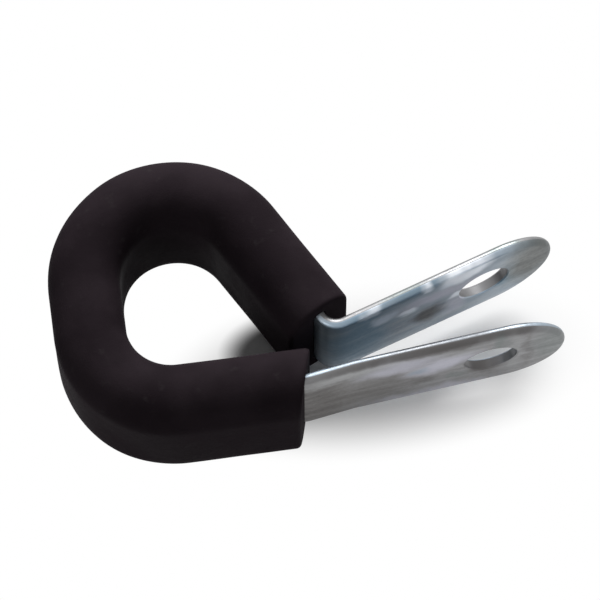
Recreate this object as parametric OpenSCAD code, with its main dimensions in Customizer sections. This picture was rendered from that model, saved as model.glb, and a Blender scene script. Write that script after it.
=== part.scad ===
// P clip: one flat steel strip, bent round into an open loop with two bolt ears,
// and one thick rubber sleeve that is pushed over the loop.
// X runs from the loop towards the ears, Y from the front ear to the back ear,
// and Z across the strip. The origin is the centre of the loop's main arc.

/* [Steel strip] */
// Width of the strip
strip_w = 12; // [9:0.5:18]
// Thickness of the strip
strip_t = 1.1; // [0.8:0.1:1.6]

/* [Loop] */
// Radius of the main arc, at the middle of the strip
loop_r = 8.7; // [8:0.1:10.4]
// Distance from the arc's centre down to the front wall, at the middle of the strip
front_drop = 12.2; // [11:0.1:14]
// Radius of the corner between the side wall and the front wall
front_corner_r = 7.9; // [5.5:0.1:9]

/* [Neck] */
// Distance from the arc's centre along to the end of the front wall
neck_x = 11.2; // [10.5:0.1:13.5]
// Slope of the step that lifts the front ear off the front wall
step_angle = 9; // [7:0.5:30]
// Length of the sloping part of that step
step_l = 4.5; // [1:0.1:6]
// Clear space between the two layers of strip where the ears begin
neck_gap = 3.4; // [2:0.1:4.5]
// Radius of the strip's bends at the neck, at the middle of its thickness
bend_r = 1.8; // [1.2:0.1:2.4]

/* [Ears] */
// Angle of the front ear to the front wall
front_ear_angle = 5.5; // [0:0.5:6.5]
// Angle of the back ear to the front wall
back_ear_angle = 18; // [14:0.5:30]
// Length of the front ear, from its bend to its tip
front_ear_l = 21; // [18:0.5:34]
// Length of the back ear, from its bend to its tip
back_ear_l = 22.5; // [18:0.5:34]
// Diameter of the bolt hole in each ear
hole_d = 5.3; // [4.3:0.1:6.6]
// Distance from an ear's tip to the middle of its hole
hole_inset = 7.5; // [6:0.1:9]

/* [Rubber sleeve] */
// Rubber over each face of the strip
sleeve_wall = 2.9; // [1.6:0.1:3.2]
// Rubber past each edge of the strip
sleeve_rim = 1.5; // [1:0.1:3.6]
// Clearance between the sleeve's slot and the strip, on every side
slot_clearance = 0.05; // [0.02:0.01:0.15]
// Bare strip between the sleeve's front end and the end of the front wall
front_bare = 1; // [0.2:0.1:3]
// Bare strip between the sleeve's back end and the bend into the back ear
back_bare = 0.2; // [0:0.1:3]
// Least clear gap between the sleeve's back end and its front wall
sleeve_gap = 0.4; // [0.2:0.1:2]

/* [Hidden] */
$fn = 96;

// A bend is this much slimmer all round than the straight stretches that it joins,
// and reaches this far into them, so that the two fuse without a seam
bend_slim = 0.005;
bend_overlap = 0.05;

// The slot is cut this far past the sleeve's ends
slot_past = 1;

// Half the thickness and half the height of the sleeve, outside
sleeve_half_t = strip_t / 2 + slot_clearance + sleeve_wall;
sleeve_half_h = strip_w / 2 + slot_clearance + sleeve_rim;

// A pose is [x, y, heading]. A step is [length, 0] for a straight stretch, or
// [radius, turn] for a bend that turns to the left by so many degrees.
function ahead(pose, l) = [pose[0] + l * cos(pose[2]), pose[1] + l * sin(pose[2]), pose[2]];
function aside(pose, d) = [pose[0] - d * sin(pose[2]), pose[1] + d * cos(pose[2]), pose[2]];
function turned(pose, a) = [pose[0], pose[1], pose[2] + a];
function arc_end(pose, r, a) = aside(turned(aside(pose, r * sign(a)), a), -r * sign(a));
function step_end(pose, s) = s[1] == 0 ? ahead(pose, s[0]) : arc_end(pose, s[0], s[1]);
function pose_at(start, steps, i) = i == 0 ? start : step_end(pose_at(start, steps, i - 1), steps[i - 1]);
function run_end(start, steps) = pose_at(start, steps, len(steps));

// The strip leaves this point both ways: the front run goes along the front wall to
// the front ear, and the back run goes round the loop to the back ear.
wall_start_x = front_corner_r - loop_r;
front_start = [wall_start_x, -front_drop, 0];
back_start = [wall_start_x, -front_drop, 180];
front_wall_l = neck_x - wall_start_x;
side_wall_l = front_drop - front_corner_r;

front_steps = [
    [front_wall_l, 0],
    [bend_r, step_angle],
    [step_l, 0],
    [bend_r, front_ear_angle - step_angle],
];
front_root = run_end(front_start, front_steps);

// The back ear begins straight across the neck gap from the front ear. The back wall
// is the line that touches both the main arc and the bend into the back ear.
back_root = turned(aside(front_root, neck_gap + strip_t), back_ear_angle - front_ear_angle);
back_bend_centre = aside(back_root, bend_r);
bend_distance = norm([back_bend_centre[0], back_bend_centre[1]]);
bend_bearing = atan2(back_bend_centre[1], back_bend_centre[0]);
touch_r = loop_r + bend_r;
back_wall_l = sqrt(pow(bend_distance, 2) - pow(touch_r, 2));
back_wall_angle = bend_bearing - asin(touch_r / bend_distance);

loop_steps = [
    [front_corner_r, -90],
    [side_wall_l, 0],
    [loop_r, back_wall_angle - 90],
];
back_wall_start = run_end(back_start, loop_steps);
back_steps = concat(loop_steps, [
    [back_wall_l, 0],
    [bend_r, back_ear_angle - back_wall_angle],
]);

// The sleeve's back end stops short of the bend, and sooner where its inner corner would
// meet the front wall's rubber
sleeve_floor = -front_drop + sleeve_half_t + sleeve_gap;
corner_y = aside(back_wall_start, -sleeve_half_t)[1];
sleeve_back_l = min(back_wall_l - back_bare, (sleeve_floor - corner_y) / sin(back_wall_angle));

// A flat bar's section with full round edges: thickness t, and width w from edge to edge
module flat_section(t, w) {
    round_y = (w - t) / 2;
    round_r = t / 2 - $slim;
    square([2 * round_r, 2 * round_y], center = true);
    for (y = [-round_y, round_y])
        translate([0, y])
            circle(round_r);
}

module strip_section() {
    flat_section(strip_t, strip_w);
}

// The slot through the sleeve, which the strip fills
module slot_section() {
    flat_section(strip_t + 2 * slot_clearance, strip_w + 2 * slot_clearance);
}

// The sleeve's outside: a flattened hose
module hose_section() {
    flat_section(2 * sleeve_half_t, 2 * sleeve_half_h);
}

// Carries a section straight ahead, along X
module straight(l) {
    $slim = 0;
    rotate([90, 0, 90])
        linear_extrude(l)
            children();
}

// Carries a section round a bend that starts along X
module bend(r, turn) {
    $slim = bend_slim;
    overlap = bend_overlap / r * 180 / PI;
    mirror([0, turn < 0 ? 1 : 0, 0])
        translate([0, r, 0])
            rotate(-90 - overlap)
                rotate_extrude(angle = abs(turn) + 2 * overlap)
                    translate([r, 0])
                        children();
}

// Places what follows a step at the step's end
module after(s) {
    side = s[0] * sign(s[1]);
    if (s[1] == 0)
        translate([s[0], 0, 0])
            children();
    else
        translate([0, side, 0])
            rotate(s[1])
                translate([0, -side, 0])
                    children();
}

// Carries the section children(0) along the steps, and puts children(1) at their end
module run(steps, i = 0) {
    if (i < len(steps)) {
        if (steps[i][1] == 0)
            straight(steps[i][0])
                children(0);
        else
            bend(steps[i][0], steps[i][1])
                children(0);
        after(steps[i])
            run(steps, i + 1) {
                children(0);
                children(1);
            }
    } else {
        children(1);
    }
}

// Where the two runs part, at the start of the front wall
module at_wall_start() {
    translate([wall_start_x, -front_drop, 0])
        children();
}

// Half of the strip's section, laid flat, from its middle line out to one edge
module tip_section() {
    round_x = (strip_w - strip_t) / 2;
    translate([0, -strip_t / 2])
        square([round_x, strip_t]);
    translate([round_x, 0])
        circle(strip_t / 2);
}

// An ear: a straight stretch of strip with a half round tip and a bolt hole
module ear(l) {
    tip_x = l - strip_w / 2;
    difference() {
        union() {
            straight(tip_x)
                strip_section();
            translate([tip_x, 0, 0])
                rotate([90, 0, 0])
                    rotate(-90)
                        rotate_extrude(angle = 180)
                            tip_section();
        }
        translate([l - hole_inset, 0, 0])
            rotate([90, 0, 0])
                cylinder(h = 2 * strip_t, d = hole_d, center = true);
    }
}

module steel_band() {
    color("#aab2ba")
        at_wall_start() {
            run(front_steps) {
                strip_section();
                ear(front_ear_l);
            }
            rotate(180)
                run(back_steps) {
                    strip_section();
                    ear(back_ear_l);
                }
        }
}

// The stretch of the strip that the sleeve covers, and so far past it at both ends,
// carried with any section
module sleeve_run(past = 0) {
    at_wall_start() {
        run([[front_wall_l - front_bare + past, 0]]) {
            children();
            union() {}
        }
        rotate(180)
            run(concat(loop_steps, [[sleeve_back_l + past, 0]])) {
                children();
                union() {}
            }
    }
}

module rubber_sleeve() {
    color("#2b2629")
        difference() {
            sleeve_run()
                hose_section();
            sleeve_run(slot_past)
                slot_section();
        }
}

steel_band();
rubber_sleeve();
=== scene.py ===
"""A P clip: one bent steel strip with two bolt ears, in a thick rubber sleeve.

Lengths are in metres and angles in degrees. X runs from the loop to the ears, Y from
the front ear to the back ear, and Z across the strip, as in the frame. The strip's
route runs from the tip of the front ear, round the loop, to the tip of the back ear.
"""

import logging
import math
from dataclasses import dataclass
from enum import Enum
from itertools import chain
from typing import ClassVar

import bmesh
import bpy
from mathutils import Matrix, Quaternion, Vector, noise


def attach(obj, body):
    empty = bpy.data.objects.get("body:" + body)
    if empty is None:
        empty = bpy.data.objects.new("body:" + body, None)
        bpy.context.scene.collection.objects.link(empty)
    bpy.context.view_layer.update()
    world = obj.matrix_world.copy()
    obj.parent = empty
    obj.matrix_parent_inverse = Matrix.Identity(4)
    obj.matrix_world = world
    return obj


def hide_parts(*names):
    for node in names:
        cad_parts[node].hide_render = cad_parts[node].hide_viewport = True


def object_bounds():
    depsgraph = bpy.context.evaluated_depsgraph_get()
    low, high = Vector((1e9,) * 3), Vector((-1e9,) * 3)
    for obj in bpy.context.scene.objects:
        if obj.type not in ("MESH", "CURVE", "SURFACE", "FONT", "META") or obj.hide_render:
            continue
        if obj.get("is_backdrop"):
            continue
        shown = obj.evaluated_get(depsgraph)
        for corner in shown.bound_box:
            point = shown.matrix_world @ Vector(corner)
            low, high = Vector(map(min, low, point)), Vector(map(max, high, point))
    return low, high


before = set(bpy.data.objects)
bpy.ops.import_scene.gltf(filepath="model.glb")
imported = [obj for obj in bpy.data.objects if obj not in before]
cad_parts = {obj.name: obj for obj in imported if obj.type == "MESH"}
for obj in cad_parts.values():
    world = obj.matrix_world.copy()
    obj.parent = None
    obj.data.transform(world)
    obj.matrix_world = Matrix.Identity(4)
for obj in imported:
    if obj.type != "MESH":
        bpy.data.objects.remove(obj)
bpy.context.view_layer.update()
BODY = "root"
STRIP_MAP = "strip_map"

log = logging.getLogger("p_clip")

Colour = tuple[float, float, float]
Triple = tuple[float, float, float]
Row = list[bmesh.types.BMVert]
Socket = bpy.types.NodeSocket

WHITE: Colour = (1.0, 1.0, 1.0)


class Face(Enum):
    """The two broad faces of the strip, by the third of the strip's coordinates."""

    OUTER = 0.0
    INNER = 1.0


@dataclass(frozen=True)
class Pose:
    """A place on the route, and the way that the route heads there."""

    x: float
    y: float
    heading: float

    def moved(self, ahead: float, aside: float) -> "Pose":
        """Moves the pose and keeps its heading.

        Args:
            ahead: How far it moves along the heading.
            aside: How far it moves to the left.

        Returns:
            The moved pose.
        """
        angle = math.radians(self.heading)
        x = self.x + ahead * math.cos(angle) - aside * math.sin(angle)
        y = self.y + ahead * math.sin(angle) + aside * math.cos(angle)
        return Pose(x, y, self.heading)

    def ahead(self, distance: float) -> "Pose":
        """Returns the pose so far ahead along the heading."""
        return self.moved(distance, 0.0)

    def aside(self, distance: float) -> "Pose":
        """Returns the pose so far to the left, with the same heading."""
        return self.moved(0.0, distance)

    def turned(self, angle: float) -> "Pose":
        """Returns the pose turned to the left on the spot."""
        return Pose(self.x, self.y, self.heading + angle)

    def point(self, across: float, up: float) -> Vector:
        """Places a point of a section that stands across the route here.

        Args:
            across: How far the point lies to the left of the route.
            up: How high the point lies above the middle of the strip's width.

        Returns:
            The point in the frame.
        """
        side = self.aside(across)
        return Vector((side.x, side.y, up))


@dataclass(frozen=True)
class Step:
    """One stretch of a route: a straight of this length, or a bend of this radius."""

    size: float
    turn: float = 0.0

    @property
    def length(self) -> float:
        """The length of the stretch, along the middle of the strip."""
        return self.size * math.radians(abs(self.turn)) if self.turn else self.size

    def pose(self, start: Pose, share: float = 1.0) -> Pose:
        """Follows the step from its start.

        Args:
            start: The pose at the start of the step.
            share: How much of the step is followed, from 0 to 1.

        Returns:
            The pose that is reached.
        """
        if not self.turn:
            return start.ahead(self.size * share)
        radius = math.copysign(self.size, self.turn)
        return start.aside(radius).turned(self.turn * share).aside(-radius)

    def backwards(self) -> "Step":
        """Returns the same stretch, followed from its other end."""
        return Step(self.size, -self.turn)


@dataclass(frozen=True)
class Route:
    """A chain of steps from a starting pose."""

    start: Pose
    steps: tuple[Step, ...]

    @property
    def length(self) -> float:
        """The length of the whole route."""
        return sum(step.length for step in self.steps)

    def end(self) -> Pose:
        """Returns the pose at the end of the route."""
        return self.pose(self.length)

    def pose(self, distance: float) -> Pose:
        """Finds a pose on the route.

        Args:
            distance: The distance from the route's start. The route goes straight on past
                either end.

        Returns:
            The pose there.
        """
        pose, left = self.start, distance
        if left < 0:
            return pose.ahead(left)
        for step in self.steps:
            if left <= step.length:
                return step.pose(pose, left / step.length)
            pose, left = step.pose(pose), left - step.length
        return pose.ahead(left)

    def joints(self) -> list[float]:
        """Finds where one step meets the next.

        Returns:
            The distances of the joints from the route's start, in order.
        """
        reached, marks = 0.0, []
        for step in self.steps[:-1]:
            reached += step.length
            marks.append(reached)
        return marks

    def stations(self, first: float, last: float, spacing: float) -> list[float]:
        """Spreads stations along the route, with one at every joint between two steps.

        Args:
            first: The distance of the first station.
            last: The distance of the last station.
            spacing: The longest distance between two stations.

        Returns:
            The distances of the stations, in order.
        """
        marks = [first, *[mark for mark in self.joints() if first < mark < last], last]
        found = [first]
        for low, high in zip(marks, marks[1:]):
            parts = max(1, math.ceil((high - low) / spacing))
            found += [low + (high - low) * part / parts for part in range(1, parts + 1)]
        return found


@dataclass(frozen=True)
class ClipForm:
    """The sizes that the strip and the sleeve share.

    Radii and distances are to the middle of the strip's thickness.
    """

    strip_width: float = 0.012
    strip_thickness: float = 0.0011
    loop_radius: float = 0.0087
    front_drop: float = 0.0122
    front_corner_radius: float = 0.0079
    neck_x: float = 0.0112
    step_angle: float = 9.0
    step_length: float = 0.0045
    neck_gap: float = 0.0034
    bend_radius: float = 0.0018
    front_ear_angle: float = 5.5
    back_ear_angle: float = 18.0
    front_ear_length: float = 0.021
    back_ear_length: float = 0.0225
    hole_diameter: float = 0.0053
    hole_inset: float = 0.0075
    sleeve_wall: float = 0.0029
    sleeve_rim: float = 0.0015
    slot_clearance: float = 0.00005
    front_bare: float = 0.001
    back_bare: float = 0.0002
    sleeve_gap: float = 0.0004

    @property
    def wall_start(self) -> Pose:
        """The start of the front wall, heading for the neck."""
        return Pose(self.front_corner_radius - self.loop_radius, -self.front_drop, 0.0)

    @property
    def front_wall(self) -> Step:
        """The straight front wall of the loop."""
        return Step(self.neck_x - self.wall_start.x)

    @property
    def front_steps(self) -> tuple[Step, ...]:
        """The front wall and the step up from it.

        Returns:
            The steps from the start of the front wall to the root of the front ear.
        """
        return (
            self.front_wall,
            Step(self.bend_radius, self.step_angle),
            Step(self.step_length),
            Step(self.bend_radius, self.front_ear_angle - self.step_angle),
        )

    @property
    def back_root(self) -> Pose:
        """The root of the back ear, straight across the neck gap from the front ear's.

        Returns:
            The pose there, heading for the ear's tip.
        """
        front_root = Route(self.wall_start, self.front_steps).end()
        rise = self.neck_gap + self.strip_thickness
        return front_root.aside(rise).turned(self.back_ear_angle - self.front_ear_angle)

    @property
    def back_wall(self) -> tuple[float, float]:
        """The back wall: the line that touches both the main arc and the back bend.

        Returns:
            Its length and its heading.
        """
        centre = self.back_root.aside(self.bend_radius)
        away = math.hypot(centre.x, centre.y)
        reach = self.loop_radius + self.bend_radius
        bearing = math.degrees(math.atan2(centre.y, centre.x))
        return math.sqrt(away**2 - reach**2), bearing - math.degrees(math.asin(reach / away))

    @property
    def loop_steps(self) -> tuple[Step, ...]:
        """The front corner, the side wall and the main arc.

        Returns:
            The steps from the start of the front wall, the other way, to the back wall.
        """
        return (
            Step(self.front_corner_radius, -90.0),
            Step(self.front_drop - self.front_corner_radius),
            Step(self.loop_radius, self.back_wall[1] - 90.0),
        )

    @property
    def sleeve_half_thickness(self) -> float:
        """Half the thickness of the sleeve, outside."""
        return self.strip_thickness / 2 + self.slot_clearance + self.sleeve_wall

    @property
    def sleeve_half_height(self) -> float:
        """Half the height of the sleeve, outside."""
        return self.strip_width / 2 + self.slot_clearance + self.sleeve_rim

    def strip_route(self) -> Route:
        """Chains the strip's steps.

        Returns:
            The route from the tip of the front ear to the tip of the back ear.
        """
        front = (*self.front_steps, Step(self.front_ear_length))
        tip = Route(self.wall_start, front).end().turned(180.0)
        length, heading = self.back_wall
        bend = Step(self.bend_radius, self.back_ear_angle - heading)
        back = (Step(length), bend, Step(self.back_ear_length))
        inward = tuple(step.backwards() for step in reversed(front))
        return Route(tip, (*inward, *self.loop_steps, *back))

    def sleeve_route(self) -> Route:
        """Chains the steps that the sleeve covers.

        The sleeve's back end stops short of the bend, and sooner where its inner corner
        would meet the front wall's rubber.

        Returns:
            The route from the sleeve's front end to its back end.
        """
        front = Step(self.front_wall.size - self.front_bare)
        start = Route(self.wall_start, (front,)).end().turned(180.0)
        length, heading = self.back_wall
        wall_start = Route(self.wall_start.turned(180.0), self.loop_steps).end()
        corner = wall_start.aside(-self.sleeve_half_thickness)
        floor = self.sleeve_half_thickness + self.sleeve_gap - self.front_drop
        clear = (floor - corner.y) / math.sin(math.radians(heading))
        covered = min(length - self.back_bare, clear)
        return Route(start, (front, *self.loop_steps, Step(covered)))


@dataclass(frozen=True)
class RimPoint:
    """A point of a section: across the strip's thickness, and up its width."""

    across: float
    up: float


@dataclass(frozen=True)
class FlatSection:
    """A flat bar's section with full round edges."""

    thickness: float
    width: float
    flat_parts: int = 6
    round_parts: int = 12

    def upper_half(self) -> list[RimPoint]:
        """Works out the upper half of the rim.

        Returns:
            The points from the middle of the outer face, over the top, to the middle of
            the inner face.
        """
        radius = self.thickness / 2
        flat = self.width / 2 - radius
        face = [RimPoint(radius, flat * part / self.flat_parts) for part in range(self.flat_parts)]
        angles = [math.pi * part / self.round_parts for part in range(self.round_parts + 1)]
        crown = [RimPoint(radius * math.cos(a), flat + radius * math.sin(a)) for a in angles]
        far_face = [RimPoint(-point.across, point.up) for point in reversed(face)]
        return [*face, *crown, *far_face]

    def rim(self) -> list[RimPoint]:
        """Returns the whole rim, starting in the middle of the outer face."""
        half = self.upper_half()
        return [*half, *[RimPoint(point.across, -point.up) for point in reversed(half[1:-1])]]


class Shell:
    """A mesh in the making, whose faces know where they lie on the strip's route.

    On the inner face, the map's heights are raised by FACE_SHIFT, clear of the outer's.
    """

    FACE_SHIFT = 0.1

    def __init__(self) -> None:
        """Starts an empty mesh with the strip's map on it."""
        self.mesh = bmesh.new()
        self.map = self.mesh.loops.layers.uv.new(STRIP_MAP)
        self.along = self.mesh.verts.layers.float.new("along")
        self.across = self.mesh.verts.layers.float.new("across")

    def vertex(self, place: Vector, along: float, across: float) -> bmesh.types.BMVert:
        """Adds a vertex.

        Args:
            place: Where it is, in the frame.
            along: Its distance along the route.
            across: How far it lies to the left of the route.

        Returns:
            The new vertex.
        """
        made = self.mesh.verts.new(place)
        made[self.along] = along
        made[self.across] = across
        return made

    def ring(self, route: Route, distance: float, section: FlatSection) -> Row:
        """Adds a ring of vertices where a section stands across the route.

        Args:
            route: The route that carries the section.
            distance: Where the section stands.
            section: The section.

        Returns:
            The ring's vertices, in the order of the section's rim.
        """
        pose = route.pose(distance)
        return [self.vertex(pose.point(p.across, p.up), distance, p.across) for p in section.rim()]

    def skin(self, first: Row, second: Row, closed: bool = True) -> None:
        """Joins two rows of vertices with faces.

        Args:
            first: One row.
            second: The other row, of the same length. A vertex that is in both rows makes
                a triangle.
            closed: Whether the rows are rings.
        """
        count = len(first)
        for i in range(count if closed else count - 1):
            j = (i + 1) % count
            corners = [first[i], first[j], second[j], second[i]]
            self.mesh.faces.new(list(dict.fromkeys(corners)))

    def lay_map(self) -> None:
        """Writes the strip's map: the distance along the route, and the height on each face."""
        for face in self.mesh.faces:
            inner = sum(vertex[self.across] for vertex in face.verts) < 0
            shift = self.FACE_SHIFT * (Face.INNER.value if inner else Face.OUTER.value)
            for loop in face.loops:
                loop[self.map].uv = (loop.vert[self.along], loop.vert.co.z + shift)

    def to_object(self, name: str) -> bpy.types.Object:
        """Turns the mesh into an object and frees it.

        Args:
            name: The object's name.

        Returns:
            The new object, in the scene.
        """
        bmesh.ops.recalc_face_normals(self.mesh, faces=self.mesh.faces)
        self.lay_map()
        data = bpy.data.meshes.new(name)
        self.mesh.to_mesh(data)
        self.mesh.free()
        made = bpy.data.objects.new(name, data)
        bpy.context.scene.collection.objects.link(made)
        return made


def soften(data: bpy.types.Mesh, crease: float) -> None:
    """Shades a mesh smooth, apart from its sharp edges.

    Args:
        data: The mesh.
        crease: The angle from which an edge stays sharp.
    """
    work = bmesh.new()
    work.from_mesh(data)
    for face in work.faces:
        face.smooth = True
    for edge in work.edges:
        flat_enough = edge.calc_face_angle(0.0) < math.radians(crease)
        edge.smooth = len(edge.link_faces) == 2 and flat_enough
    work.to_mesh(data)
    work.free()


def settle_normals(piece: bpy.types.Object) -> None:
    """Lets the large faces of a piece rule the shading at its rounded edges."""
    modifier = piece.modifiers.new("face_normals", "WEIGHTED_NORMAL")
    modifier.keep_sharp = True


@dataclass(frozen=True)
class Ramp:
    """A smooth ramp: the values where it starts and ends, and what it gives there."""

    start: float
    end: float
    low: float = 0.0
    high: float = 1.0


@dataclass(frozen=True)
class Grain:
    """A noise: its cells to a metre along each axis, its finer layers, and its turn."""

    cells: Triple
    layers: float
    turn: float = 0.0


class Finish:
    """A material's node tree, with short calls for the nodes that the finishes share.

    The MIX numbers are the places of the sockets of a Mix node for colours.
    """

    MIX_SHARE, MIX_FIRST, MIX_SECOND, MIX_COLOUR = 0, 6, 7, 2

    def __init__(self, name: str) -> None:
        """Starts a material with one Principled shader.

        Args:
            name: The material's name.
        """
        self.material = bpy.data.materials.new(name)
        self.material.use_nodes = True
        self.tree = self.material.node_tree
        self.shader = self.tree.nodes["Principled BSDF"]

    def node(self, kind: str, **settings: object) -> bpy.types.Node:
        """Adds a node.

        Args:
            kind: The node's type.
            settings: Its settings, by name.

        Returns:
            The new node.
        """
        made = self.tree.nodes.new(kind)
        for name, value in settings.items():
            setattr(made, name, value)
        return made

    def feed(self, socket: Socket, source: object) -> None:
        """Links a socket to another one, or sets it.

        Args:
            socket: The input socket.
            source: An output socket, a number, a vector or a colour.
        """
        if isinstance(source, Socket):
            self.tree.links.new(source, socket)
        elif isinstance(source, tuple) and socket.type == "RGBA":
            socket.default_value = (*source, 1.0)
        else:
            socket.default_value = source

    def sum(self, operation: str, *values: object) -> Socket:
        """Works out a number.

        Args:
            operation: The Math node's operation.
            values: Its numbers or sockets.

        Returns:
            The socket with the result.
        """
        made = self.node("ShaderNodeMath", operation=operation)
        for socket, value in zip(made.inputs, values):
            self.feed(socket, value)
        return made.outputs[0]

    def spread(self, value: Socket, ramp: Ramp) -> Socket:
        """Puts a value through a ramp, which it doesn't pass at either end.

        Args:
            value: The socket that gives the value.
            ramp: The ramp.

        Returns:
            The socket with the result.
        """
        made = self.node("ShaderNodeMapRange", interpolation_type="SMOOTHSTEP")
        ends = (value, ramp.start, ramp.end, ramp.low, ramp.high)
        for socket, number in zip(made.inputs, ends):
            self.feed(socket, number)
        return made.outputs[0]

    def noise(self, vector: Socket, grain: Grain) -> Socket:
        """Adds a noise.

        Args:
            vector: The coordinates that it is read at.
            grain: Its coarseness, layers and turn.

        Returns:
            The socket with the noise, from 0 to 1 and mostly near 0.5.
        """
        place = self.node("ShaderNodeMapping")
        self.feed(place.inputs["Vector"], vector)
        place.inputs["Rotation"].default_value = (0.0, 0.0, math.radians(grain.turn))
        place.inputs["Scale"].default_value = grain.cells
        made = self.node("ShaderNodeTexNoise")
        self.feed(made.inputs["Vector"], place.outputs[0])
        made.inputs["Scale"].default_value = 1.0
        made.inputs["Detail"].default_value = grain.layers
        return made.outputs["Fac"]

    def length(self, vector: Socket) -> Socket:
        """Works out a vector's length.

        Args:
            vector: The socket with the vector.

        Returns:
            The socket with the length.
        """
        made = self.node("ShaderNodeVectorMath", operation="LENGTH")
        self.feed(made.inputs[0], vector)
        return made.outputs["Value"]

    def blend(self, share: object, first: object, second: object) -> Socket:
        """Mixes two colours.

        Args:
            share: How much of the second colour there is.
            first: The first colour.
            second: The second colour.

        Returns:
            The socket with the mixed colour.
        """
        made = self.node("ShaderNodeMix", data_type="RGBA")
        self.feed(made.inputs[self.MIX_SHARE], share)
        self.feed(made.inputs[self.MIX_FIRST], first)
        self.feed(made.inputs[self.MIX_SECOND], second)
        return made.outputs[self.MIX_COLOUR]

    def bump(self, height: Socket, depth: float, under: Socket | None = None) -> Socket:
        """Adds relief.

        Args:
            height: The socket with the height, from 0 to 1.
            depth: The height that 1 stands for.
            under: The normal that this relief is laid on, if there is one.

        Returns:
            The socket with the new normal.
        """
        made = self.node("ShaderNodeBump")
        made.inputs["Strength"].default_value = 1.0
        made.inputs["Distance"].default_value = depth
        self.feed(made.inputs["Height"], height)
        if under is not None:
            self.feed(made.inputs["Normal"], under)
        return made.outputs[0]


class PaintedTone(Enum):
    """The tones laid on the zinc in patches: painted reflections, highlights and shade, and the
    back ear's darker tip.
    """

    BRIGHT = (0.92, 0.95, 1.0)
    PALE = (0.6, 0.66, 0.74)
    LAVENDER = (0.5, 0.5, 0.57)
    SILVER = (0.27, 0.275, 0.28)
    GREEN_GREY = (0.15, 0.17, 0.168)
    BLUE_GREY = (0.17, 0.24, 0.3)
    TEAL = (0.13, 0.235, 0.32)
    # This dark grey is used for painted shade, and for the back ear's darker tip.
    SHADE_GREY = (0.07, 0.064, 0.062)
    BROWN_GREY = (0.088, 0.083, 0.078)
    # This light grey is used for painted reflections.
    SHEEN_GREY = (0.42, 0.42, 0.48)


@dataclass(frozen=True)
class PaintedLightMark:
    """A soft oval patch of colour on the strip, mostly painted reflection, highlight or shade, at
    its full strength over the CORE of its size.

    FACE_DEPTH is its size along the third coordinate, which keeps it off the other face.
    """

    CORE: ClassVar[float] = 0.25
    FACE_DEPTH: ClassVar[float] = 0.1

    face: Face
    along: float
    up: float
    half_length: float
    half_width: float
    tint: PaintedTone
    strength: float
    slant: float = 0.0

    def mask(self, finish: Finish, plane: Socket) -> Socket:
        """Makes the soft oval that the streak covers.

        Args:
            finish: The material's tree.
            plane: The strip's coordinates: along, up and face.

        Returns:
            The socket with the streak's strength at each point.
        """
        place = finish.node("ShaderNodeMapping", vector_type="TEXTURE")
        finish.feed(place.inputs["Vector"], plane)
        place.inputs["Location"].default_value = (self.along, self.up, self.face.value)
        place.inputs["Rotation"].default_value = (0.0, 0.0, math.radians(self.slant))
        size = (self.half_length, self.half_width, self.FACE_DEPTH)
        place.inputs["Scale"].default_value = size
        away = finish.length(place.outputs[0])
        return finish.spread(away, Ramp(1.0, self.CORE, 0.0, self.strength))


FRONT_PAINTED_LIGHT = (
    # Painted shadow of the sleeve's end on the root of the front ear.
    PaintedLightMark(Face.OUTER, 0.0245, -0.0012, 0.006, 0.0085, PaintedTone.BROWN_GREY, 0.9),
    PaintedLightMark(Face.OUTER, 0.0185, -0.0014, 0.0048, 0.0052, PaintedTone.BROWN_GREY, 0.65),
    PaintedLightMark(Face.OUTER, 0.0255, -0.0012, 0.0042, 0.0085, PaintedTone.SHADE_GREY, 0.6),
    # Painted reflections: lighter and darker bands along the front ear.
    PaintedLightMark(Face.OUTER, 0.0168, 0.0038, 0.0058, 0.0026, PaintedTone.SHEEN_GREY, 0.8, -4.0),
    PaintedLightMark(Face.OUTER, 0.0215, 0.0046, 0.007, 0.0016, PaintedTone.SILVER, 0.7, -4.0),
    PaintedLightMark(Face.OUTER, 0.0125, 0.0016, 0.0052, 0.0024, PaintedTone.SHEEN_GREY, 1.0, -16.0),
    PaintedLightMark(Face.OUTER, 0.0147, 0.0012, 0.0016, 0.0012, PaintedTone.BLUE_GREY, 0.5, -14.0),
    PaintedLightMark(Face.OUTER, 0.0143, -0.0018, 0.0022, 0.0016, PaintedTone.SHADE_GREY, 0.6, -10.0),
    PaintedLightMark(Face.OUTER, 0.011, -0.0024, 0.0016, 0.0014, PaintedTone.GREEN_GREY, 0.6),
    PaintedLightMark(Face.OUTER, 0.013, -0.0056, 0.008, 0.0018, PaintedTone.SHEEN_GREY, 0.8),
    # Painted shade round the front bolt hole.
    PaintedLightMark(Face.OUTER, 0.0078, -0.001, 0.003, 0.0032, PaintedTone.SHADE_GREY, 0.8),
    # Painted reflections in bands across the front ear, near its tip.
    PaintedLightMark(Face.OUTER, 0.0066, 0.0042, 0.001, 0.0034, PaintedTone.GREEN_GREY, 0.7),
    PaintedLightMark(Face.OUTER, 0.0052, 0.001, 0.0011, 0.008, PaintedTone.SILVER, 0.7),
    PaintedLightMark(Face.OUTER, 0.0039, 0.0008, 0.0006, 0.007, PaintedTone.SHADE_GREY, 0.35),
    PaintedLightMark(Face.OUTER, 0.0016, 0.0008, 0.0028, 0.006, PaintedTone.GREEN_GREY, 0.6),
    # Painted shade along the front ear's top edge, which dims the lamp's highlight there.
    *(PaintedLightMark(face, 0.012, 0.0061, 0.018, 0.0014, PaintedTone.SHADE_GREY, 0.75) for face in Face),
)
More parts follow.
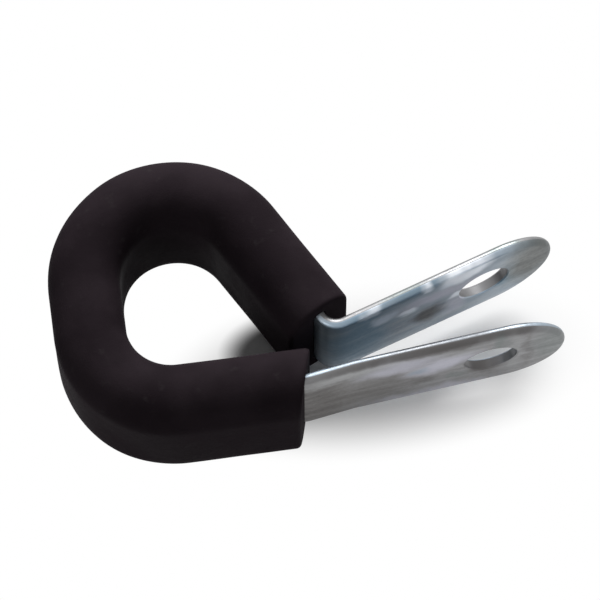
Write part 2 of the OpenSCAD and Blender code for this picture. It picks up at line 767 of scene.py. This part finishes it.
BACK_PAINTED_LIGHT = (
    # Painted shadow of the sleeve's end on the root of the back ear.
    PaintedLightMark(Face.INNER, 0.0935, 0.001, 0.005, 0.0085, PaintedTone.TEAL, 0.9),
    # Painted shade on the back ear's top edge, which dims the lamp's highlight there.
    PaintedLightMark(Face.INNER, 0.0995, 0.0062, 0.0045, 0.0016, PaintedTone.BLUE_GREY, 0.8),
    # Painted reflections, light and dark, and painted highlights on the back ear's inner face.
    PaintedLightMark(Face.INNER, 0.102, 0.0026, 0.0075, 0.0022, PaintedTone.LAVENDER, 0.9, -6.0),
    PaintedLightMark(Face.INNER, 0.0958, 0.0028, 0.002, 0.0019, PaintedTone.PALE, 0.8, -12.0),
    PaintedLightMark(Face.INNER, 0.0986, 0.0016, 0.0014, 0.0009, PaintedTone.BRIGHT, 0.8, -20.0),
    PaintedLightMark(Face.INNER, 0.1009, -0.0014, 0.0026, 0.0026, PaintedTone.SHADE_GREY, 0.9),
    PaintedLightMark(Face.INNER, 0.1038, -0.0018, 0.0018, 0.0032, PaintedTone.LAVENDER, 0.7),
    PaintedLightMark(Face.INNER, 0.1042, 0.0005, 0.0016, 0.001, PaintedTone.BRIGHT, 0.9, 16.0),
    PaintedLightMark(Face.INNER, 0.1042, 0.0048, 0.0034, 0.0016, PaintedTone.PALE, 0.7),
    # Painted shade at the back bolt hole.
    PaintedLightMark(Face.INNER, 0.1092, -0.0012, 0.0014, 0.0024, PaintedTone.TEAL, 0.8),
    # The back ear is made darker towards its tip.
    PaintedLightMark(Face.INNER, 0.112, 0.0008, 0.0045, 0.0085, PaintedTone.GREEN_GREY, 1.0),
    PaintedLightMark(Face.INNER, 0.1125, 0.0008, 0.004, 0.0075, PaintedTone.SHADE_GREY, 0.45),
    # Painted shade on the back ear's top edge, which dims the lamp's highlight there.
    PaintedLightMark(Face.OUTER, 0.1095, 0.0061, 0.004, 0.0014, PaintedTone.GREEN_GREY, 0.9),
    PaintedLightMark(Face.OUTER, 0.0985, 0.0062, 0.0042, 0.0011, PaintedTone.GREEN_GREY, 0.7),
    # Painted highlights along the back ear's top edge.
    PaintedLightMark(Face.INNER, 0.1048, 0.0052, 0.0036, 0.0022, PaintedTone.BRIGHT, 1.0),
    PaintedLightMark(Face.INNER, 0.1006, 0.0056, 0.0009, 0.0009, PaintedTone.BRIGHT, 0.7),
    PaintedLightMark(Face.INNER, 0.0945, 0.0056, 0.0016, 0.001, PaintedTone.BRIGHT, 0.6),
)


@dataclass(frozen=True)
class ZincPlate:
    """Dull zinc plate over rolled steel, smeared by handling and by the press, with painted
    reflections, highlights and shade laid on in patches.
    """

    # The inner face's lighter, bluer tone is painted light: both faces are the same zinc.
    outer: Colour = (0.22, 0.22, 0.225)
    inner: Colour = (0.32, 0.375, 0.43)
    smeared: Colour = (0.34, 0.35, 0.37)
    clouded: Colour = (0.08, 0.085, 0.09)
    smear: Grain = Grain((160.0, 900.0, 7.0), 2.0, 4.0)
    cloud: Grain = Grain((90.0, 260.0, 3.0), 3.0, -8.0)
    rolled: Grain = Grain((260.0, 9000.0, 5.0), 3.0)
    speck: Grain = Grain((2600.0, 2600.0, 11.0), 2.0)
    smear_share: Ramp = Ramp(0.48, 0.74, 0.0, 0.3)
    cloud_share: Ramp = Ramp(0.3, 0.6, 0.25, 0.0)
    roughness: Ramp = Ramp(0.35, 0.7, 0.48, 0.34)
    speck_roughness: Ramp = Ramp(0.4, 0.7, 0.0, 0.07)
    cloud_depth: float = 0.00009
    rolled_depth: float = 0.0000016
    speck_depth: float = 0.000005
    stir_cells: float = 420.0
    stir_layers: float = 2.0
    wander: float = 0.0022
    painted_light: tuple[PaintedLightMark, ...] = (*FRONT_PAINTED_LIGHT, *BACK_PAINTED_LIGHT)

    def material(self) -> bpy.types.Material:
        """Builds the material.

        Returns:
            The material, read by the strip's map.
        """
        finish = Finish("zinc_plate")
        plane, inner = self.plane(finish)
        smear = finish.noise(plane, self.smear)
        cloud = finish.noise(plane, self.cloud)
        rolled = finish.noise(plane, self.rolled)
        speck = finish.noise(plane, self.speck)

        # Each face gets its own tone, the inner one lighter as painted light.
        colour = finish.blend(inner, self.outer, self.inner)
        colour = finish.blend(finish.spread(smear, self.smear_share), colour, self.smeared)
        colour = finish.blend(finish.spread(cloud, self.cloud_share), colour, self.clouded)
        ruffled = self.ruffle(finish, plane)
        # Lays on the patches of painted reflection, highlight and shade.
        for streak in self.painted_light:
            colour = finish.blend(streak.mask(finish, ruffled), colour, streak.tint.value)
        finish.feed(finish.shader.inputs["Base Color"], colour)
        finish.shader.inputs["Metallic"].default_value = 1.0

        smooth = finish.spread(smear, self.roughness)
        rough = finish.sum("ADD", smooth, finish.spread(speck, self.speck_roughness))
        finish.feed(finish.shader.inputs["Roughness"], rough)

        relief = finish.bump(cloud, self.cloud_depth)
        relief = finish.bump(rolled, self.rolled_depth, relief)
        relief = finish.bump(speck, self.speck_depth, relief)
        finish.feed(finish.shader.inputs["Normal"], relief)
        return finish.material

    @staticmethod
    def plane(finish: Finish) -> tuple[Socket, Socket]:
        """Reads the strip's map.

        Args:
            finish: The material's tree.

        Returns:
            The socket with the strip's coordinates: along, up and face. Then the socket
            that is 1 on the inner face and 0 on the outer one.
        """
        strip_map = finish.node("ShaderNodeUVMap", uv_map=STRIP_MAP)
        parts = finish.node("ShaderNodeSeparateXYZ")
        finish.feed(parts.inputs[0], strip_map.outputs[0])
        along, height = parts.outputs[:2]
        inner = finish.sum("GREATER_THAN", height, Shell.FACE_SHIFT / 2)
        up = finish.sum("SUBTRACT", height, finish.sum("MULTIPLY", inner, Shell.FACE_SHIFT))
        spot = finish.node("ShaderNodeCombineXYZ")
        for socket, source in zip(spot.inputs, (along, up, inner)):
            finish.feed(socket, source)
        return spot.outputs[0], inner

    def ruffle(self, finish: Finish, plane: Socket) -> Socket:
        """Shifts the strip's coordinates to and fro, so that no streak has a clean outline.

        Args:
            finish: The material's tree.
            plane: The strip's coordinates: along, up and face.

        Returns:
            The socket with the shifted coordinates.
        """
        stir = finish.node("ShaderNodeTexNoise")
        finish.feed(stir.inputs["Vector"], plane)
        stir.inputs["Scale"].default_value = self.stir_cells
        stir.inputs["Detail"].default_value = self.stir_layers
        shift = finish.node("ShaderNodeVectorMath", operation="MULTIPLY_ADD")
        finish.feed(shift.inputs[0], stir.outputs["Color"])
        shift.inputs[1].default_value = (self.wander, self.wander, 0.0)
        shift.inputs[2].default_value = (-self.wander / 2, -self.wander / 2, 0.0)
        moved = finish.node("ShaderNodeVectorMath", operation="ADD")
        finish.feed(moved.inputs[0], plane)
        finish.feed(moved.inputs[1], shift.outputs[0])
        return moved.outputs[0]


@dataclass(frozen=True)
class BlackRubber:
    """Soft extruded rubber: near black with a warm cast, a fine matt grain and a faint bloom."""

    base: Colour = (0.0155, 0.0115, 0.014)
    bloom: Colour = (0.027, 0.0205, 0.0245)
    scuffed: Colour = (0.04, 0.036, 0.037)
    haze: Grain = Grain((150.0, 150.0, 150.0), 4.0)
    scuff: Grain = Grain((900.0, 900.0, 900.0), 3.0)
    grain: Grain = Grain((5200.0, 5200.0, 5200.0), 3.0)
    drawn: Grain = Grain((60.0, 3600.0, 1.0), 2.0)
    bloom_share: Ramp = Ramp(0.36, 0.68, 0.05, 0.75)
    scuff_share: Ramp = Ramp(0.6, 0.82, 0.0, 0.35)
    roughness: Ramp = Ramp(0.35, 0.7, 0.55, 0.7)
    grain_roughness: Ramp = Ramp(0.35, 0.7, -0.03, 0.05)
    gloss: float = 0.005
    drawn_depth: float = 0.000012
    scuff_depth: float = 0.00003
    grain_depth: float = 0.000014

    def material(self) -> bpy.types.Material:
        """Builds the material.

        Returns:
            The material, read by the strip's map and the place in the frame.
        """
        finish = Finish("black_rubber")
        place = finish.node("ShaderNodeTexCoord").outputs["Object"]
        strip_map = finish.node("ShaderNodeUVMap", uv_map=STRIP_MAP).outputs[0]
        haze = finish.noise(place, self.haze)
        scuff = finish.noise(place, self.scuff)
        grain = finish.noise(place, self.grain)
        drawn = finish.noise(strip_map, self.drawn)

        colour = finish.blend(finish.spread(haze, self.bloom_share), self.base, self.bloom)
        colour = finish.blend(finish.spread(scuff, self.scuff_share), colour, self.scuffed)
        finish.feed(finish.shader.inputs["Base Color"], colour)

        smooth = finish.spread(haze, self.roughness)
        rough = finish.sum("ADD", smooth, finish.spread(grain, self.grain_roughness))
        finish.feed(finish.shader.inputs["Roughness"], rough)
        finish.shader.inputs["Specular IOR Level"].default_value = self.gloss

        relief = finish.bump(drawn, self.drawn_depth)
        relief = finish.bump(scuff, self.scuff_depth, relief)
        relief = finish.bump(grain, self.grain_depth, relief)
        finish.feed(finish.shader.inputs["Normal"], relief)
        return finish.material


@dataclass(frozen=True)
class SteelBand:
    """The strip: two ears with half round tips and bolt holes, and the loop between them."""

    form: ClipForm
    finish: ZincPlate
    spacing: float = 0.0004
    tip_parts: int = 48
    hole_parts: int = 96
    hole_break: float = 0.00012
    crease: float = 35.0

    def build(self) -> bpy.types.Object:
        """Builds and dresses the strip.

        Returns:
            The strip's object.
        """
        shell = Shell()
        route = self.form.strip_route()
        section = FlatSection(self.form.strip_thickness, self.form.strip_width)
        reach = self.form.strip_width / 2
        stations = route.stations(reach, route.length - reach, self.spacing)
        rings = [shell.ring(route, distance, section) for distance in stations]
        for first, second in zip(rings, rings[1:]):
            shell.skin(first, second)
        for end, way in ((0, -1.0), (-1, 1.0)):
            self.add_tip(shell, route, stations[end], rings[end], section, way)
        band = shell.to_object("steel_strip")

        for distance in (self.form.hole_inset, route.length - self.form.hole_inset):
            self.pierce(band, route, distance)
        soften(band.data, self.crease)
        settle_normals(band)
        band.data.materials.clear()
        band.data.materials.append(self.finish.material())
        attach(band, BODY)
        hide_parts("steel_band")
        return band

    def add_tip(
        self,
        shell: Shell,
        route: Route,
        distance: float,
        ring: Row,
        section: FlatSection,
        way: float,
    ) -> None:
        """Rounds off one end of the strip.

        Args:
            shell: The mesh that the tip is added to.
            route: The strip's route.
            distance: Where the tip's centre lies on the route.
            ring: The ring of vertices there.
            section: The strip's section.
            way: 1 for the end of the route, and -1 for its start.
        """
        half = section.upper_half()
        count = len(half)
        outer_middle, inner_middle = ring[0], ring[count - 1]
        pose = route.pose(distance)
        rows = [ring[:count]]
        for part in range(1, self.tip_parts):
            angle = math.pi * part / self.tip_parts
            row = [outer_middle]
            for point in half[1:-1]:
                along = distance + way * point.up * math.sin(angle)
                spot = pose.ahead(along - distance)
                place = spot.point(point.across, point.up * math.cos(angle))
                row.append(shell.vertex(place, along, point.across))
            rows.append([*row, inner_middle])
        rows.append([outer_middle, *reversed(ring[count:]), inner_middle])
        for first, second in zip(rows, rows[1:]):
            shell.skin(first, second, closed=False)

    def pierce(self, band: bpy.types.Object, route: Route, distance: float) -> None:
        """Cuts a bolt hole with broken edges.

        Args:
            band: The strip's object.
            route: The strip's route.
            distance: Where the hole's centre lies on the route.
        """
        half = self.form.strip_thickness / 2
        radius = self.form.hole_diameter / 2
        flare = radius + 2 * self.hole_break
        profile = [
            (half + self.hole_break, flare),
            (half - self.hole_break, radius),
            (self.hole_break - half, radius),
            (-half - self.hole_break, flare),
        ]
        shell = Shell()
        pose = route.pose(distance)
        rows = []
        for across, reach in profile:
            row = []
            for part in range(self.hole_parts):
                angle = 2 * math.pi * part / self.hole_parts
                along = reach * math.cos(angle)
                place = pose.ahead(along).point(across, reach * math.sin(angle))
                row.append(shell.vertex(place, distance + along, across))
            rows.append(row)
        for first, second in zip(rows, rows[1:]):
            shell.skin(first, second)
        shell.mesh.faces.new(rows[0])
        shell.mesh.faces.new(rows[-1])
        cutter = shell.to_object("hole_cutter")
        modifier = band.modifiers.new("hole", "BOOLEAN")
        modifier.operation, modifier.object, modifier.solver = "DIFFERENCE", cutter, "EXACT"
        graph = bpy.context.evaluated_depsgraph_get()
        band.data = bpy.data.meshes.new_from_object(band.evaluated_get(graph))
        band.modifiers.clear()
        bpy.data.objects.remove(cutter)


@dataclass(frozen=True)
class RubberSleeve:
    """The sleeve: a flattened rubber hose over the loop, with a slot for the strip."""

    form: ClipForm
    finish: BlackRubber
    spacing: float = 0.0003
    end_round: float = 0.0004
    end_parts: int = 5
    bulge: float = 0.0019
    bulge_reach: float = 0.005
    lip_flare: float = 0.00012
    lip_depth: float = 0.0006
    unevenness: float = 0.00005
    lump_size: float = 0.006
    lump_seed: int = 7
    flat_parts: int = 8
    round_parts: int = 24
    crease: float = 50.0

    def build(self) -> bpy.types.Object:
        """Builds and dresses the sleeve.

        Returns:
            The sleeve's object.
        """
        shell = Shell()
        route = self.form.sleeve_route()
        outside = self.outside(shell, route)
        inside = self.inside(shell, route)
        for rows in (outside, inside):
            for first, second in zip(rows, rows[1:]):
                shell.skin(first, second)
        shell.skin(outside[0], inside[0])
        shell.skin(outside[-1], inside[-1])
        self.unsettle(outside)
        self.slant(shell, [*outside, *inside])
        sleeve = shell.to_object("rubber_hose")
        soften(sleeve.data, self.crease)
        settle_normals(sleeve)
        sleeve.data.materials.append(self.finish.material())
        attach(sleeve, BODY)
        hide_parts("rubber_sleeve")
        return sleeve

    def hose_section(self, inset: float) -> FlatSection:
        """Draws the hose's outer section.

        Args:
            inset: How far it is drawn in all round.

        Returns:
            The section.
        """
        thickness = 2 * (self.form.sleeve_half_thickness - inset)
        width = 2 * (self.form.sleeve_half_height - inset)
        return FlatSection(thickness, width, self.flat_parts, self.round_parts)

    def slot_section(self, flare: float) -> FlatSection:
        """Draws the slot's section.

        Args:
            flare: How far it is drawn out all round.

        Returns:
            The section.
        """
        room = self.form.slot_clearance + flare
        thickness = self.form.strip_thickness + 2 * room
        width = self.form.strip_width + 2 * room
        return FlatSection(thickness, width, self.flat_parts, self.round_parts)

    def outside(self, shell: Shell, route: Route) -> list[Row]:
        """Adds the rings of the sleeve's outer surface, with its rounded ends.

        Args:
            shell: The mesh that the rings are added to.
            route: The sleeve's route.

        Returns:
            The rings, from the front end to the back end.
        """
        first, last = self.end_round, route.length - self.end_round
        middle = [(distance, 0.0) for distance in route.stations(first, last, self.spacing)]
        front = [(first - ahead, inset) for ahead, inset in reversed(self.fillet())]
        back = [(last + ahead, inset) for ahead, inset in self.fillet()]
        spots = [*front, *middle, *back]
        return [shell.ring(route, distance, self.hose_section(inset)) for distance, inset in spots]

    def fillet(self) -> list[tuple[float, float]]:
        """Works out the rounding of an end.

        Returns:
            Its steps: how far ahead each one is, and how far in it is drawn.
        """
        radius = self.end_round
        angles = [math.pi / 2 * part / self.end_parts for part in range(1, self.end_parts + 1)]
        return [(radius * math.sin(angle), radius * (1 - math.cos(angle))) for angle in angles]

    def inside(self, shell: Shell, route: Route) -> list[Row]:
        """Adds the rings of the slot that the strip fills, with its lips.

        Args:
            shell: The mesh that the rings are added to.
            route: The sleeve's route.

        Returns:
            The rings, from the front end to the back end.
        """
        first, last = self.lip_depth, route.length - self.lip_depth
        middle = [(distance, 0.0) for distance in route.stations(first, last, self.spacing)]
        spots = [(0.0, self.lip_flare), *middle, (route.length, self.lip_flare)]
        return [shell.ring(route, distance, self.slot_section(flare)) for distance, flare in spots]

    def slant(self, shell: Shell, rings: list[Row]) -> None:
        """Lets the rubber inside the loop bulge out past the front end.

        Args:
            shell: The sleeve's mesh.
            rings: All its rings.
        """
        half = self.form.sleeve_half_thickness
        for vertex in chain.from_iterable(rings):
            near = max(0.0, 1 - vertex[shell.along] / self.bulge_reach)
            inward = half - vertex[shell.across]
            vertex.co.x += self.bulge * near**2 * inward / (2 * half)

    def unsettle(self, rings: list[Row]) -> None:
        """Gives the rubber's surface its slight unevenness.

        Args:
            rings: The rings of the outer surface.
        """
        noise.seed_set(self.lump_seed)
        for vertex in chain.from_iterable(rings):
            vertex.co += noise.noise_vector(vertex.co / self.lump_size) * self.unevenness


@dataclass(frozen=True)
class Lamp:
    """A soft square lamp that looks at the clip."""

    name: str
    place: Triple
    size: float
    power: float

    def hang(self, target: Vector) -> None:
        """Adds the lamp to the scene.

        Args:
            target: The point that it looks at.
        """
        data = bpy.data.lights.new(self.name, "AREA")
        data.size, data.energy = self.size, self.power
        made = bpy.data.objects.new(self.name, data)
        made.location = self.place
        made.rotation_mode = "QUATERNION"
        made.rotation_quaternion = (target - made.location).to_track_quat("-Z", "Y")
        bpy.context.scene.collection.objects.link(made)


@dataclass(frozen=True)
class Shade:
    """An oval of the floor in shadow, which fades from its reach out to its clear edge.

    Both distances are across the oval, which is stretched along X.
    """

    centre: tuple[float, float]
    stretch: float
    reach: float
    clear: float
    lit_share: float

    def cleared(self, finish: Finish, place: Socket) -> Socket:
        """Works out how far the floor is clear of the shadow.

        Args:
            finish: The floor's material.
            place: The socket with the place on the floor.

        Returns:
            The socket with the share, from lit_share in the shadow to 1 outside it.
        """
        oval = finish.node("ShaderNodeMapping", vector_type="TEXTURE")
        finish.feed(oval.inputs["Vector"], place)
        oval.inputs["Location"].default_value = (*self.centre, 0.0)
        oval.inputs["Scale"].default_value = (self.stretch, 1.0, 1.0)
        away = finish.length(oval.outputs[0])
        return finish.spread(away, Ramp(self.reach, self.clear, self.lit_share))


@dataclass(frozen=True)
class Studio:
    """A white floor and backdrop, with soft light from behind and a little from in front."""

    floor_half: float = 1.0
    floor_parts: int = 8
    floor_roughness: float = 0.9
    floor_colour: Colour = (0.9, 0.9, 0.9)
    floor_bounce: Colour = (0.35, 0.35, 0.35)
    daylight: Colour = (0.22, 0.22, 0.22)
    shades: tuple[Shade, ...] = (
        Shade((0.0195, -0.0076), 2.4, 0.0035, 0.0098, 0.15),
        Shade((0.0115, -0.0048), 1.8, 0.003, 0.0053, 0.0),
    )
    lamps: tuple[Lamp, ...] = (
        Lamp("window", (0.1, 0.34, 0.22), 0.2, 2.3),
        Lamp("front", (-0.3, -0.35, 0.3), 0.25, 0.35),
    )

    def build(self) -> None:
        """Sets up the floor, the lamps, the world and the view's colours."""
        low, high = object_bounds()
        self.lay_floor(low.z)
        for lamp in self.lamps:
            lamp.hang((low + high) / 2)
        self.open_sky()
        bpy.context.scene.view_settings.view_transform = "Standard"

    @staticmethod
    def seen_rays(tree: bpy.types.NodeTree) -> Socket:
        """Tells the rays that show the background from those that light the clip.

        Args:
            tree: The node tree that the test is added to.

        Returns:
            The socket with 1 for rays that show the background, and 0 for the rest.
        """
        rays = tree.nodes.new("ShaderNodeLightPath")
        seen = rays.outputs["Is Camera Ray"]
        for name in ("Is Glossy Ray", "Is Transmission Ray"):
            either = tree.nodes.new("ShaderNodeMath")
            either.operation = "MAXIMUM"
            tree.links.new(seen, either.inputs[0])
            tree.links.new(rays.outputs[name], either.inputs[1])
            seen = either.outputs[0]
        return seen

    def lay_floor(self, height: float) -> None:
        """Lays the floor, which fades into the backdrop away from its shadows.

        Args:
            height: The height of the floor.
        """
        work = bmesh.new()
        parts = self.floor_parts
        bmesh.ops.create_grid(work, x_segments=parts, y_segments=parts, size=self.floor_half)
        data = bpy.data.meshes.new("floor")
        work.to_mesh(data)
        work.free()
        floor = bpy.data.objects.new("floor", data)
        floor.location.z = height
        bpy.context.scene.collection.objects.link(floor)
        floor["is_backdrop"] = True

        finish = Finish("floor")
        paper = finish.shader
        seen = self.seen_rays(finish.tree)
        colour = finish.blend(seen, self.floor_bounce, self.floor_colour)
        finish.feed(paper.inputs["Base Color"], colour)
        paper.inputs["Roughness"].default_value = self.floor_roughness
        paper.inputs["Specular IOR Level"].default_value = 0.0
        white = finish.node("ShaderNodeEmission")
        place = finish.node("ShaderNodeTexCoord").outputs["Object"]
        share = seen
        for shade in self.shades:
            share = finish.sum("MINIMUM", share, shade.cleared(finish, place))
        mixed = finish.node("ShaderNodeMixShader")
        finish.feed(mixed.inputs[0], share)
        finish.feed(mixed.inputs[1], paper.outputs[0])
        finish.feed(mixed.inputs[2], white.outputs[0])
        finish.feed(finish.tree.nodes["Material Output"].inputs["Surface"], mixed.outputs[0])
        data.materials.append(finish.material)

    def open_sky(self) -> None:
        """Makes the world: even daylight on the clip, and white where it is seen or mirrored."""
        world = bpy.data.worlds.new("studio")
        world.use_nodes = True
        tree = world.node_tree
        light = tree.nodes["Background"]
        light.inputs["Color"].default_value = (*self.daylight, 1.0)
        white = tree.nodes.new("ShaderNodeBackground")
        white.inputs["Color"].default_value = (*WHITE, 1.0)
        mixed = tree.nodes.new("ShaderNodeMixShader")
        tree.links.new(self.seen_rays(tree), mixed.inputs[0])
        tree.links.new(light.outputs[0], mixed.inputs[1])
        tree.links.new(white.outputs[0], mixed.inputs[2])
        tree.links.new(mixed.outputs[0], tree.nodes["World Output"].inputs["Surface"])
        bpy.context.scene.world = world


@dataclass(frozen=True)
class Viewpoint:
    """The camera: from in front and a little to the left, looking steeply down."""

    aim: Triple = (0.012, -0.0021, 0.0)
    azimuth: float = -7.3
    elevation: float = 69.8
    roll: float = -0.6
    distance: float = 0.384
    lens: float = 236.0
    nearest: float = 0.01
    farthest: float = 10.0

    def build(self) -> None:
        """Adds the camera and makes it the scene's."""
        turn, rise = math.radians(self.azimuth), math.radians(self.elevation)
        level = math.cos(rise)
        back = Vector((math.sin(turn) * level, -math.cos(turn) * level, math.sin(rise)))
        data = bpy.data.cameras.new("camera")
        data.lens = self.lens
        data.clip_start, data.clip_end = self.nearest, self.farthest
        camera = bpy.data.objects.new("camera", data)
        camera.location = Vector(self.aim) + back * self.distance
        camera.rotation_mode = "QUATERNION"
        spin = Quaternion((0.0, 0.0, 1.0), math.radians(self.roll))
        camera.rotation_quaternion = (-back).to_track_quat("-Z", "Y") @ spin
        bpy.context.scene.collection.objects.link(camera)
        bpy.context.scene.camera = camera


def main() -> None:
    """Builds the clip, the studio and the camera."""
    logging.basicConfig(level=logging.INFO, format="%(name)s: %(message)s")
    Viewpoint().build()
    form = ClipForm()
    for maker in (SteelBand(form, ZincPlate()), RubberSleeve(form, BlackRubber())):
        piece = maker.build()
        log.info("%s has %d faces", piece.name, len(piece.data.polygons))
    Studio().build()


if __name__ == "__main__":
    main()
